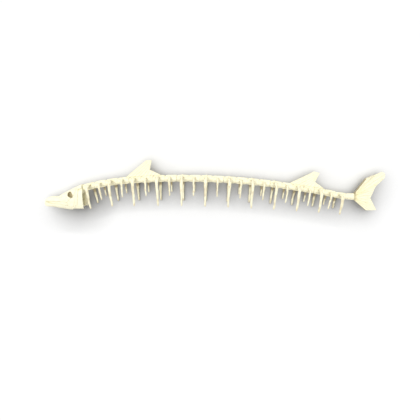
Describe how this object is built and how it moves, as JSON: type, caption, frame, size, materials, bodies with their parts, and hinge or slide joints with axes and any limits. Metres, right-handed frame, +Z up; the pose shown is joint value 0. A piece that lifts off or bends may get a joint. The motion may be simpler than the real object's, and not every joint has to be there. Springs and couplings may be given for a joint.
{
  "type": "barracuda skeleton",
  "caption": "Long slender fish skeleton lying on its side, with a pointed skull, backbone, alternating long and short rib pairs, dorsal fins and a forked tail fin.",
  "frame": {"origin": "centre of the bounding box, on the floor that the skeleton lies on", "axes": "-X towards the snout and +X towards the tail, +Y towards the fish's back, +Z up out of its left side"},
  "size_m": [1.2012, 0.1838, 0.094],
  "materials": {
    "skull_bone": "dry pale ivory bone, smooth plates with fine growth lines",
    "backbone_bone": "dry pale ivory bone, slightly grained, faint beige specks",
    "fin_rays": "dried fin rays and thin web, pale ivory with a yellower root"
  },
  "bodies": {
    "root": {"cranium": "skull_bone", "lower_jaw": "skull_bone", "upper_jaw_left": "skull_bone", "upper_jaw_right": "skull_bone", "cheek_left": "skull_bone", "cheek_right": "skull_bone", "gill_cover_left": "skull_bone", "gill_cover_right": "skull_bone", "shoulder_girdle": "skull_bone", "backbone_1_left": "backbone_bone", "backbone_1_right": "backbone_bone", "backbone_2_left": "backbone_bone", "backbone_2_right": "backbone_bone", "backbone_3_left": "backbone_bone", "backbone_3_right": "backbone_bone", "backbone_4_left": "backbone_bone", "backbone_4_right": "backbone_bone", "backbone_5_left": "backbone_bone", "backbone_5_right": "backbone_bone", "backbone_6_left": "backbone_bone", "backbone_6_right": "backbone_bone", "first_dorsal_fin": "fin_rays", "second_dorsal_fin": "fin_rays", "tail_fin": "fin_rays"}
  },
  "joints": []
}
